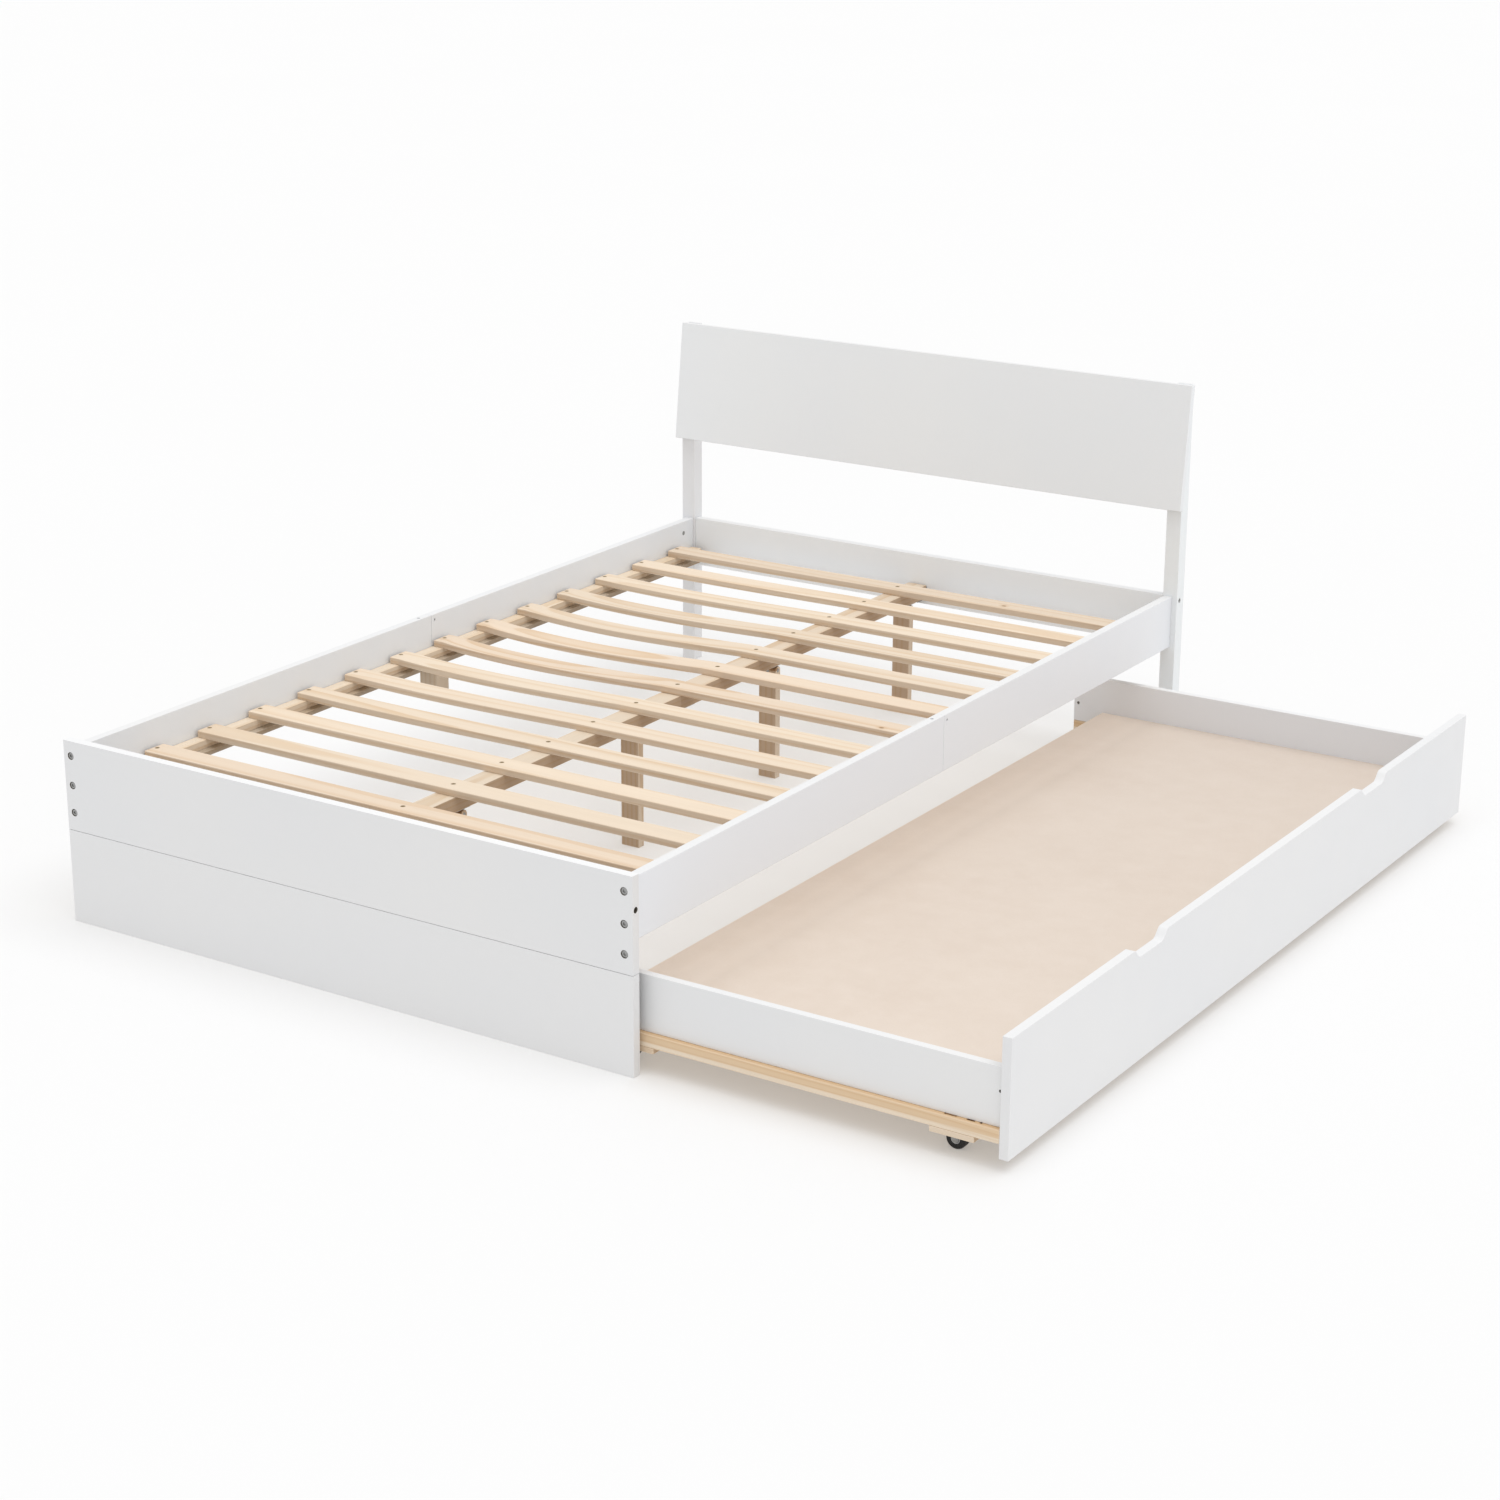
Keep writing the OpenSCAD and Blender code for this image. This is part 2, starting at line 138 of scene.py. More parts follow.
SHARP = math.radians(25)  # faces that meet at more than this make a corner
HOLE_SPAN = 40 * MM  # a ring of corners smaller than this is the rim of a hole
BORE_FACE = 60 * MM * MM  # a face at such a rim that is smaller than this is part of the hole's wall
RIM_EASE = 0.25 * MM
RIM_STEPS = 1
EDGE_STEPS = 3

# How far the edges of a piece are eased, by material slot, and where a kind of piece differs
EDGES = {
    "white_paint": 1.1 * MM,
    "pine": 1.4 * MM,
    "birch_board": 0.5 * MM,
    "zinc_steel": 0.35 * MM,
}
NODE_EDGES = {
    "slat_strip": 1.2 * MM,
    "slat": 2.4 * MM,
    "footboard": 0.5 * MM,
    "side_rail": 1.2 * MM,
    "trundle_end_rail": 2 * MM,
}


def eased(node, edge):
    """A CAD node's mesh with rounded corners: outer edges by edge, and the rims of its holes by RIM_EASE.
    Faces made on outer edges are marked in the face attribute "edge", and the walls of holes in "bore"."""
    bm = cad_mesh(node)
    corners = [e for e in bm.edges if e.is_manifold and e.calc_face_angle(0) > SHARP]
    outer, rims = [], []
    for ring in groups_of(corners, lambda e: [o for v in e.verts for o in v.link_edges]):
        low, high = extent([v.co for e in ring for v in e.verts])
        if (high - low).length < HOLE_SPAN:
            rims.extend(ring)
        else:
            outer.extend(ring)
    if not outer:
        outer, rims = rims, []
    mark = bm.faces.layers.float.new("edge")
    bore = bm.faces.layers.float.new("bore")
    for face in {f for e in rims for f in e.link_faces}:
        face[bore] = face.calc_area() < BORE_FACE
    for edges, width, steps, value in (
        (rims, RIM_EASE, RIM_STEPS, 0),
        (outer, edge, EDGE_STEPS, 1),
    ):
        if not edges:
            continue
        made = bmesh.ops.bevel(
            bm,
            geom=edges,
            offset=width,
            offset_type="OFFSET",
            segments=steps,
            profile=0.5,
            affect="EDGES",
            clamp_overlap=False,
        )
        for face in made["faces"]:
            face[mark] = value
    return bm


# ----------------------------------------------------------------------------------------- turned shapes

# A shape is a function that gives the outline's radius at each turn about the axis.


def round_shape(radius):
    return lambda turn: radius


def hex_shape(across):
    """A hexagon that measures across from flat to flat."""
    sixth = math.pi / 3
    return lambda turn: across / 2 / math.cos((turn + sixth / 2) % sixth - sixth / 2)


def cross_shape(reach, arm):
    """A cross with arms that reach that far and are arm wide."""
    quarter = math.pi / 2

    def shape(turn):
        off = abs((turn + quarter / 2) % quarter - quarter / 2)
        return min(reach / math.cos(off), arm / 2 / max(math.sin(off), 1e-6))

    return shape


def loft(bm, place, rings, steps=24, closed=False):
    """Joins rings, each a (shape, height) pair, about the Z axis of place.
    The ends are capped, or joined to each other if closed."""
    loops = []
    for shape, height in rings:
        loop = []
        for i in range(steps):
            turn = 2 * math.pi * i / steps
            r = shape(turn)
            point = place @ Vector((r * math.cos(turn), r * math.sin(turn), height))
            loop.append(bm.verts.new(point))
        loops.append(loop)
    pairs = list(zip(loops, loops[1:]))
    if closed:
        pairs.append((loops[-1], loops[0]))
    else:
        bm.faces.new(list(reversed(loops[0])))
        bm.faces.new(loops[-1])
    for a, b in pairs:
        for i in range(steps):
            j = (i + 1) % steps
            bm.faces.new((a[i], a[j], b[j], b[i]))


def facing(point, direction):
    """A matrix at point whose Z axis is direction."""
    turn = Vector((0, 0, 1)).rotation_difference(Vector(direction))
    return Matrix.Translation(point) @ turn.to_matrix().to_4x4()


# --------------------------------------------------------------------------------------------- fasteners

END_DEPTH = 0.3 * MM  # points nearer an end of a fastener than this lie on that end
RIM_SHARE = 0.97  # points farther out than this share of the head's radius lie on its rim
HEAD_STEP = 0.5 * MM  # a head is wider than its shank by more than this
BOLT_PLAY = 0.9 * MM  # how much narrower a head is than the counterbore it sits in
BOLT_PITCH = 1.25 * MM
SCREW_PITCH = 2.4 * MM


class Fastener:
    """A screw or bolt, measured from the points of its CAD solid. It starts at head and runs against out."""

    def __init__(self, points):
        axis = long_axis(points)
        low, high = extent(points)
        middle = (low + high) / 2
        self.length = high[axis] - low[axis]

        def radius(v):
            off = v - middle
            off[axis] = 0
            return off.length

        ends = []
        for sign, at in ((-1, low[axis]), (1, high[axis])):
            here = [radius(v) for v in points if abs(v[axis] - at) < END_DEPTH]
            ends.append((max(here), sign, at))
        self.head_r, sign, at = max(ends)
        self.shank_r = min(ends)[0]
        rim = [abs(v[axis] - at) for v in points if radius(v) > RIM_SHARE * self.head_r]
        self.head_h = max(h for h in rim if h < self.length / 2 + MM)
        self.headless = self.head_r < self.shank_r + HEAD_STEP
        self.out = Vector((0, 0, 0))
        self.out[axis] = sign
        self.head = middle.copy()
        self.head[axis] = at

    def place(self):
        return facing(self.head, self.out)


def thread(radius, top, bottom, pitch, depth):
    """Rings of a thread between two heights."""
    turns = max(1, round((top - bottom) / pitch))
    step = (top - bottom) / turns
    rings = []
    for i in range(turns):
        rings.append((round_shape(radius), top - step * i))
        rings.append((round_shape(radius - depth), top - step * (i + 0.5)))
    rings.append((round_shape(radius), bottom))
    return rings


def add_bolt(bm, f):
    """A machine bolt with a chamfered head and a hexagon socket."""
    head = f.head_r - BOLT_PLAY
    socket = head * 0.95
    depth = min(f.head_h * 0.75, 2 * MM)
    rings = [
        (hex_shape(socket * 0.98), -depth),
        (hex_shape(socket), -0.2 * MM),
        (round_shape(head * 0.62), 0),
        (round_shape(head - 0.7 * MM), 0),
        (round_shape(head - 0.2 * MM), -0.2 * MM),
        (round_shape(head), -0.7 * MM),
        (round_shape(head), -f.head_h),
        (round_shape(f.shank_r), -f.head_h),
    ]
    plain = -f.head_h - 0.35 * (f.length - f.head_h)
    tip = -f.length + 0.6 * MM
    rings += thread(f.shank_r, plain, tip, BOLT_PITCH, 0.35 * MM)
    rings.append((round_shape(f.shank_r - 0.6 * MM), -f.length))
    loft(bm, f.place(), list(reversed(rings)))


def add_stud(bm, f):
    """A headless bolt: threaded from end to end, with chamfered tips."""
    r, tip = f.shank_r, 0.5 * MM
    rings = [(round_shape(r - tip), 0)]
    rings += thread(r, -tip, tip - f.length, BOLT_PITCH, 0.3 * MM)
    rings.append((round_shape(r - tip), -f.length))
    loft(bm, f.place(), list(reversed(rings)), steps=16)


def add_screw(bm, f):
    """A countersunk wood screw with a cross recess."""
    head = f.head_r
    cone = min(max(head - f.shank_r, f.head_h), f.length / 2)
    rings = [
        (cross_shape(head * 0.22, head * 0.16), -0.45 * cone),
        (cross_shape(head * 0.6, head * 0.26), -0.05 * MM),
        (round_shape(head * 0.7), 0),
        (round_shape(head - 0.15 * MM), 0),
        (round_shape(head), -0.15 * MM),
        (round_shape(f.shank_r), -cone),
    ]
    rings += thread(f.shank_r, -cone - MM, 2 * MM - f.length, SCREW_PITCH, 0.5 * MM)
    rings.append((round_shape(0.3 * MM), -f.length))
    loft(bm, f.place(), list(reversed(rings)))


def fasteners(node, add):
    """All fasteners of a node, each made by add, or as a stud where it has no head."""
    bm = bmesh.new()
    for points in solids(node):
        f = Fastener(points)
        if f.headless:
            add_stud(bm, f)
        else:
            add(bm, f)
    return bm


# ------------------------------------------------------------------------------------------ castor wheels

HUB_BORE = 4.2 * MM
HUB_BOSS_WALL = 1.3 * MM
HUB_RIM_WALL = 1.1 * MM
HUB_RECESS = 1.6 * MM
HUB_CHAMFER = 0.3 * MM
HUB_SPOKES = 6
SPOKE_W = 1.1 * MM
SPOKE_SUNK = 0.2 * MM  # how far a spoke runs into the boss, the rim and the web


def turned(middle, profile, steps):
    """A ring about a wheel's axle. profile has (radius, place along the axle) pairs from one side of the
    wheel to its middle, and the other half mirrors it."""
    mirrored = [(radius, -along) for radius, along in reversed(profile) if along]
    rings = [(round_shape(radius), along) for radius, along in profile + mirrored]
    bm = bmesh.new()
    loft(bm, facing(middle, (0, 1, 0)), rings, steps=steps, closed=True)
    return bm


def tyre(node):
    """A moulded tyre: rounded shoulders, dished walls and a fine groove round the tread."""
    low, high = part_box(node)
    middle, half = (low + high) / 2, (high.y - low.y) / 2
    r = (high.z - low.z) / 2
    hub_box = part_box(node.replace("tyre", "hub"))
    inner = (hub_box[1].z - hub_box[0].z) / 2
    profile = [
        (inner, -half),
        (inner + 1.2 * MM, -half),
        (inner + 2 * MM, -half + 0.8 * MM),
        (r - 4.6 * MM, -half + 0.8 * MM),
        (r - 3.5 * MM, -half + 0.1 * MM),
        (r - 1.6 * MM, -half + 0.6 * MM),
        (r - 0.4 * MM, -half + 1.9 * MM),
        (r, -half + 3.5 * MM),
        (r, -0.7 * MM),
        (r - 0.6 * MM, 0),
    ]
    return turned(middle, profile, steps=64)


def hub(node):
    """A moulded hub: rim, recessed web with spokes, boss, and a bore for the axle."""
    low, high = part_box(node)
    middle, half = (low + high) / 2, (high.y - low.y) / 2
    r = (high.z - low.z) / 2
    web = half - HUB_RECESS
    boss, rim = HUB_BORE + HUB_BOSS_WALL, r - HUB_RIM_WALL
    profile = [
        (HUB_BORE, -half + HUB_CHAMFER),
        (HUB_BORE + HUB_CHAMFER, -half),
        (boss - HUB_CHAMFER, -half),
        (boss, -half + HUB_CHAMFER),
        (boss, -web),
        (rim, -web),
        (rim, -half + HUB_CHAMFER),
        (rim + HUB_CHAMFER, -half),
        (r, -half),
    ]
    bm = turned(middle, profile, steps=48)
    shape = Matrix.Diagonal((rim - boss + 2 * SPOKE_SUNK, HUB_RECESS, SPOKE_W, 1))
    for side in (-1, 1):
        at = Matrix.Translation(((rim + boss) / 2, side * (web + half - SPOKE_SUNK) / 2, 0))
        for i in range(HUB_SPOKES):
            turn = Matrix.Rotation(2 * math.pi * i / HUB_SPOKES, 4, "Y")
            spoke = bmesh.ops.create_cube(bm, size=1)["verts"]
            place = Matrix.Translation(middle) @ turn @ at @ shape
            bmesh.ops.transform(bm, matrix=place, verts=spoke)
    return bm


# ---------------------------------------------------------------------------------------- material nodes

DRIFT = 9  # how far a piece's texture may be shifted, so that no two pieces look alike


class Look:
    """A material under construction, with short calls for its nodes."""

    def __init__(self, name):
        self.material = bpy.data.materials.new(name)
        self.material.use_nodes = True
        self.tree = self.material.node_tree
        self.shader = self.tree.nodes["Principled BSDF"]
        self.coords = self.add("ShaderNodeTexCoord")
        self.place = self.coords.outputs["Object"]

    def add(self, kind, inputs=(), **settings):
        """Adds a node. inputs maps its sockets to values or other nodes' sockets, settings its properties."""
        node = self.tree.nodes.new(kind)
        for key, value in settings.items():
            setattr(node, key, value)
        for key, value in dict(inputs).items():
            self.join(value, node.inputs[key])
        return node

    def join(self, value, socket):
        if isinstance(value, bpy.types.NodeSocket):
            self.tree.links.new(value, socket)
        else:
            socket.default_value = value

    def set(self, **values):
        """Sets the shader's sockets; a name's underscores are spaces."""
        for key, value in values.items():
            self.join(value, self.shader.inputs[key.replace("_", " ")])

    def calc(self, operation, *values, clamp=False):
        node = self.add("ShaderNodeMath", enumerate(values), operation=operation, use_clamp=clamp)
        return node.outputs[0]

    def times(self, a, b):
        return self.calc("MULTIPLY", a, b)

    def mapped(self, location=(0, 0, 0), rotation=(0, 0, 0), scale=(1, 1, 1), at=None):
        node = self.add(
            "ShaderNodeMapping",
            {
                "Vector": at or self.place,
                "Location": location,
                "Rotation": rotation,
                "Scale": scale,
            },
        )
        return node.outputs[0]

    def drifted(self, draw):
        """Texture coordinates shifted at random."""
        return self.mapped(location=[draw.uniform(-DRIFT, DRIFT) for _ in range(3)])

    def noise(self, scale, detail=2, rough=0.5, at=None):
        node = self.add(
            "ShaderNodeTexNoise",
            {
                "Vector": at or self.place,
                "Scale": scale,
                "Detail": detail,
                "Roughness": rough,
            },
        )
        return node.outputs["Fac"]

    def ramp(self, value, low, high, to_low=0, to_high=1, smooth=False):
        """Maps value from low..high to to_low..to_high, and holds it there outside."""
        node = self.add(
            "ShaderNodeMapRange",
            enumerate((value, low, high, to_low, to_high)),
            interpolation_type="SMOOTHSTEP" if smooth else "LINEAR",
        )
        return node.outputs[0]

    def mix(self, factor, a, b, how="MIX"):
        """Colour a, turned into b by factor. A colour is three numbers or a socket."""
        node = self.add("ShaderNodeMix", data_type="RGBA", blend_type=how)
        self.join(factor, node.inputs[0])
        for value, socket in ((a, node.inputs[6]), (b, node.inputs[7])):
            if not isinstance(value, bpy.types.NodeSocket):
                value = (*value, 1)
            self.join(value, socket)
        return node.outputs[2]

    def bump(self, height, depth, under=None):
        node = self.add("ShaderNodeBump", {"Height": height, "Strength": 1, "Distance": depth})
        if under:
            self.join(under, node.inputs["Normal"])
        return node.outputs[0]

    def normal(self, axis):
        """The face's direction along an axis of the piece, from -1 to 1."""
        apart = self.add("ShaderNodeSeparateXYZ", {0: self.coords.outputs["Normal"]})
        return apart.outputs[axis]

    def upright(self):
        """1 on faces that are upright, 0 on faces that look up or down."""
        return self.ramp(self.calc("ABSOLUTE", self.normal(2)), 0.75, 0.25)

    def along(self, axis, low, high):
        """0 to 1 between two places along an axis of the piece."""
        apart = self.add("ShaderNodeSeparateXYZ", {0: self.place})
        return self.ramp(apart.outputs[axis], low, high)

    def attribute(self, name):
        return self.add("ShaderNodeAttribute", attribute_name=name).outputs["Fac"]


# ------------------------------------------------------------------------------------------- white paint

PAINT_COOL = (0.825, 0.83, 0.84)
PAINT_WARM = (0.846, 0.844, 0.842)
PAINT_SPECK = (0.81, 0.811, 0.811)
# Painted highlight on the worn edges: lighter than the paint
PAINT_EDGE_HIGHLIGHT = (0.87, 0.87, 0.87)
# Painted shade on the eased edges that face down
PAINT_UNDER_EDGE_SHADE = (0.5, 0.495, 0.49)  # edges that look down
# Bare board darkened further by painted shade, for the walls of holes
RAW_BOARD_AND_HOLE_SHADE = (0.14, 0.12, 0.09)  # the walls of holes

# Painted light and shade, so that each piece looks lighter, darker or cooler as the light falls on it: what
# scales the paint of a kind of piece on its upright faces and on its level ones
PAINT_LIGHT_AND_SHADE = {
    "footboard": (0.943, 0.943, 0.943),
    "side_rail_right": (0.997, 1.022, 1.062),
    "side_rail_left": (0.952, 0.976, 1.005),
    "headboard": (1.006, 1.027, 1.042),
    "head_cross_rail": (1.04, 1.067, 1.09),
    "head_post_right": (1.038, 1.07, 1.08),
    "head_post_left": (0.955, 0.96, 0.975),
    "trundle_front_panel": (0.942, 0.942, 0.945),
    "trundle_end_panel_foot": (0.948, 0.95, 0.95),
    "trundle_end_panel_head": (0.939, 0.949, 0.973),
}
# Painted shade on level faces, by kind of piece
PAINT_TOP_SHADES = {"footboard": 1.0}
PAINT_TOP_SHADE = 0.94

# How far the walls of holes turn to bare board darkened by painted shade
HOLE_SHADES = {"footboard": 1.0, "trundle": 0.75}
HOLE_SHADE = 0.2


def paint_look(node, draw):
    """Satin white lacquer on board: clouded tone and orange peel; worn edges, glossier and with a painted
    highlight; painted shade on lower edges and in holes over bare board; painted light and shade on upright
    and level faces.
    """
    look = Look(node + "_paint")
    at = look.drifted(draw)
    edge = look.attribute("edge")
    cloud = look.noise(2.2, 3, 0.55, at)
    speck = look.noise(260, 2, 0.6, at)
    # worn edges: glossier paint, and a painted highlight that lightens them
    edge_wear_and_highlight = look.times(edge, look.ramp(look.noise(90, 3, 0.6, at), 0.4, 0.7, 0.1, 0.7))
    paint = look.mix(look.ramp(cloud, 0.3, 0.7), PAINT_COOL, PAINT_WARM)
    paint = look.mix(look.ramp(speck, 0.62, 0.8, 0, 0.35), paint, PAINT_SPECK)
    paint = look.mix(edge_wear_and_highlight, paint, PAINT_EDGE_HIGHLIGHT)
    # painted light and shade: upright faces take the piece's scale, level faces the darker top scale
    top = [of_kind(node, PAINT_TOP_SHADES, PAINT_TOP_SHADE)] * 3
    painted_light_and_shade = look.mix(look.upright(), top, of_kind(node, PAINT_LIGHT_AND_SHADE, (1, 1, 1)))
    tone = look.mix(1.0, painted_light_and_shade, paint, "MULTIPLY")
    # painted shade on the eased edges that face down
    below = look.times(look.ramp(look.normal(2), -0.15, -0.5), edge)
    tone = look.mix(below, tone, PAINT_UNDER_EDGE_SHADE)
    # walls of holes: bare board darkened by painted shade
    shaded_hole_wall = look.times(look.attribute("bore"), of_kind(node, HOLE_SHADES, HOLE_SHADE))
    look.set(Base_Color=look.mix(shaded_hole_wall, tone, RAW_BOARD_AND_HOLE_SHADE))
    gloss = look.ramp(look.noise(14, 3, 0.6, at), 0.3, 0.7, 0.4, 0.52)
    look.set(Roughness=look.calc("SUBTRACT", gloss, look.times(edge_wear_and_highlight, 0.1)))
    peel = look.bump(look.noise(420, 2, 0.5, at), 0.03 * MM)
    look.set(Normal=look.bump(look.noise(24, 2, 0.5, at), 0.12 * MM, peel))
    look.set(Coat_Weight=0.12, Coat_Roughness=0.3, Specular_IOR_Level=0.4)
    return look.material


# -------------------------------------------------------------------------------------------------- pine

PINE_LIGHT = (0.782, 0.655, 0.515)
PINE_DARK = (0.65, 0.455, 0.27)
# Dark knot colour, also used as painted shade on the walls of holes
PINE_KNOT_AND_HOLE_SHADE = (0.30, 0.16, 0.07)
# Colour of the painted shade on upright sides
PINE_SHADE = (0.52, 0.41, 0.3)
PINE_UPPER_TONE = (0.9, 0.8, 0.67)

# How much darker the stock of a kind of piece is; for the ledger, joint blocks, beam and legs under the slats
# this is partly painted shade
PINE_DEPTHS_AND_SHADES = {
    "trundle_end_rail": -0.06,
    "ledger": 0.38,
    "centre_leg": 0.1,
    "centre_beam": 0.05,
    "rail_joint": 0.2,
}
# How strongly painted shade darkens its upright sides, and the side that looks to the foot of the bed
PINE_SIDE_SHADES = {
    "slat_strip": 0.14,
    "slat": 0.2,
    "centre_beam": 0.62,
    "ledger": 0.3,
    "rail_joint": 0.2,
    "trundle_end": 0.02,
}
PINE_SIDE_SHADE = 0.1
PINE_FOOT_SHADES = {"centre_leg": 0.5, "slat": 0.05}
# How strongly its upper part and its level faces are made darker and warmer
PINE_UPPER_TONES = {"trundle_end_rail": 1.0}
UPPER_FROM, UPPER_TO = 0.34, 0.42  # the upper part begins between these shares of the piece's height

# The turn that lays the grain of the texture along each axis
GRAIN_TURN = {0: (0, 0, 0), 1: (0, 0, -math.pi / 2), 2: (0, math.pi / 2, 0)}
GRAIN_TILT = 0.012  # radians by which the grain may stray from the piece's length
PITH_BELOW = (0.03, 0.09)  # how far under the piece the pith of its tree lay
PITH_BESIDE = 0.035
TONE_STRAY = 0.012
SHADE_STRAY = 0.035
KNOTTY = (0.62, 0.64)  # only cells of the texture whose random value is above this hold a knot


def grain_place(look, draw, axis, centre):
    """Texture coordinates with X along the grain and the pith of the tree on that axis."""
    tilt = [draw.uniform(-GRAIN_TILT, GRAIN_TILT) for _ in range(3)]
    turn = [a + b for a, b in zip(GRAIN_TURN[axis], tilt)]
    away = (
        draw.uniform(-DRIFT, DRIFT),
        draw.uniform(-PITH_BESIDE, PITH_BESIDE),
        draw.uniform(*PITH_BELOW),
    )
    at = look.mapped(location=[-c for c in centre])
    return look.mapped(location=away, rotation=turn, at=at)


def late_wood(look, draw, at):
    """The dark part of each growth ring: it deepens outwards and ends at once."""
    ring = look.add(
        "ShaderNodeTexWave",
        {
            "Vector": look.mapped(scale=(0.12, 1, 1), at=at),
            "Scale": draw.uniform(20, 36),
            "Distortion": draw.uniform(2.5, 4.5),
            "Detail": 2.5,
            "Detail Scale": 0.5,
            "Detail Roughness": 0.55,
        },
        wave_type="RINGS",
        rings_direction="X",
        wave_profile="SAW",
    ).outputs["Fac"]
    return look.times(look.ramp(ring, 0.45, 0.93, smooth=True), look.ramp(ring, 1.0, 0.93))


def pine_tones(node, draw):
    """The light and the dark tone of a piece's stock."""
    warm = draw.uniform(-TONE_STRAY, TONE_STRAY)
    # the depth is partly painted shade for pieces under the slats
    shade = 1 - of_kind(node, PINE_DEPTHS_AND_SHADES, 0.0) + draw.uniform(-SHADE_STRAY, SHADE_STRAY)
    return [
        [c * shade for c in (red, green + warm, blue + warm)]
        for red, green, blue in (PINE_LIGHT, PINE_DARK)
    ]


def with_knots(look, at, tone, dark):
    """The tone with a knot here and there: a dark core in a softer halo."""
    knots = look.add(
        "ShaderNodeTexVoronoi",
        {"Vector": look.mapped(scale=(7, 9, 9), at=at), "Scale": 1, "Randomness": 1},
    )
    cell = look.add("ShaderNodeSeparateColor", {0: knots.outputs["Color"]})
    chosen = look.ramp(cell.outputs[0], *KNOTTY)
    halo = look.ramp(knots.outputs["Distance"], 0.12, 0.04, smooth=True)
    core = look.ramp(knots.outputs["Distance"], 0.05, 0.025, smooth=True)
    tone = look.mix(look.times(look.times(halo, chosen), 0.45), tone, dark)
    return look.mix(look.times(look.times(core, chosen), 0.8), tone, PINE_KNOT_AND_HOLE_SHADE)


def with_end_grain_and_shade(look, node, axis, box, tone, dark):
    """The tone with darker end grain, painted shade on the upright sides and on the side that looks to the
    foot, and the upper part and level faces made darker and warmer.
    """
    end = look.ramp(look.calc("ABSOLUTE", look.normal(axis)), 0.7, 0.95)
    tone = look.mix(look.times(end, 0.55), tone, [c * 0.82 for c in dark])
    # painted shade on upright sides and on the side facing the foot of the bed
    shaded = [c * s for c, s in zip(dark, PINE_SHADE)]
    sides = of_kind(node, PINE_SIDE_SHADES, PINE_SIDE_SHADE)
    tone = look.mix(look.times(look.upright(), sides), tone, shaded)
    foot = look.ramp(look.normal(1), -0.5, -0.9, 0, of_kind(node, PINE_FOOT_SHADES, 0.0))
    tone = look.mix(foot, tone, shaded)
    upper_share = of_kind(node, PINE_UPPER_TONES, 0.0)
    low, rise = box[0].z, box[1].z - box[0].z
    upper = look.along(2, low + rise * UPPER_FROM, low + rise * UPPER_TO)
    level = look.calc("SUBTRACT", 0.7, look.upright(), clamp=True)
    # the upper part and the level faces are made darker and warmer
    for part in (upper, level):
        tone = look.mix(look.times(part, upper_share), tone, PINE_UPPER_TONE, "MULTIPLY")
    return tone


def pine_look(node, draw):
    """Pine sawn along the piece: growth rings about a pith below it, fibres, knots and darker end grain."""
    look = Look(node + "_pine")
    axis = long_axis(solids(node)[0])
    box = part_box(node)
    at = grain_place(look, draw, axis, (box[0] + box[1]) / 2)
    late = late_wood(look, draw, at)
    fibre = look.noise(1, 4, 0.65, look.mapped(scale=(9, 700, 700), at=at))
    streak = look.noise(1, 3, 0.6, look.mapped(scale=(2.2, 60, 60), at=at))
    light, dark = pine_tones(node, draw)
    tone = look.mix(look.times(late, draw.uniform(0.4, 0.75)), light, dark)
    tone = look.mix(look.ramp(streak, 0.35, 0.75, 0, 0.45), tone, [c * 0.9 for c in light])
    tone = look.mix(look.ramp(fibre, 0.5, 0.8, 0, 0.3), tone, dark)
    tone = with_knots(look, at, tone, dark)
    tone = with_end_grain_and_shade(look, node, axis, box, tone, dark)
    # painted shade: the walls of holes take the dark knot colour
    tone = look.mix(look.attribute("bore"), tone, PINE_KNOT_AND_HOLE_SHADE)
    # painted highlight: the eased edges are a little lighter than the wood
    edge_wear_and_highlight = look.times(look.attribute("edge"), 0.25)
    look.set(Base_Color=look.mix(edge_wear_and_highlight, tone, [min(1, c * 1.06) for c in light]))
    look.set(Roughness=look.ramp(fibre, 0.2, 0.8, 0.52, 0.7), Specular_IOR_Level=0.3)
    relief = look.bump(fibre, 0.05 * MM)
    look.set(Normal=look.bump(late, 0.04 * MM, relief))
    return look.material


# ----------------------------------------------------------------------------------------- pressed board

BOARD_LIGHT = (0.72, 0.625, 0.54)
BOARD_DEEP = (0.69, 0.59, 0.505)
BOARD_PALE = (0.75, 0.66, 0.58)
BOARD_FLECK = (0.64, 0.53, 0.435)
BOARD_EDGE = (0.52, 0.40, 0.30)
# Painted light that makes the board paler where the bed's shadow falls on it
BOARD_PAINTED_LIGHT = (1.25, 1.26, 1.27)
# Painted shade that makes the board a little deeper towards the head
BOARD_HEAD_SHADE = (0.9, 0.895, 0.895)
PAINTED_LIGHT_FULL, PAINTED_LIGHT_END = 0.05, 0.12  # from the board's inner edge


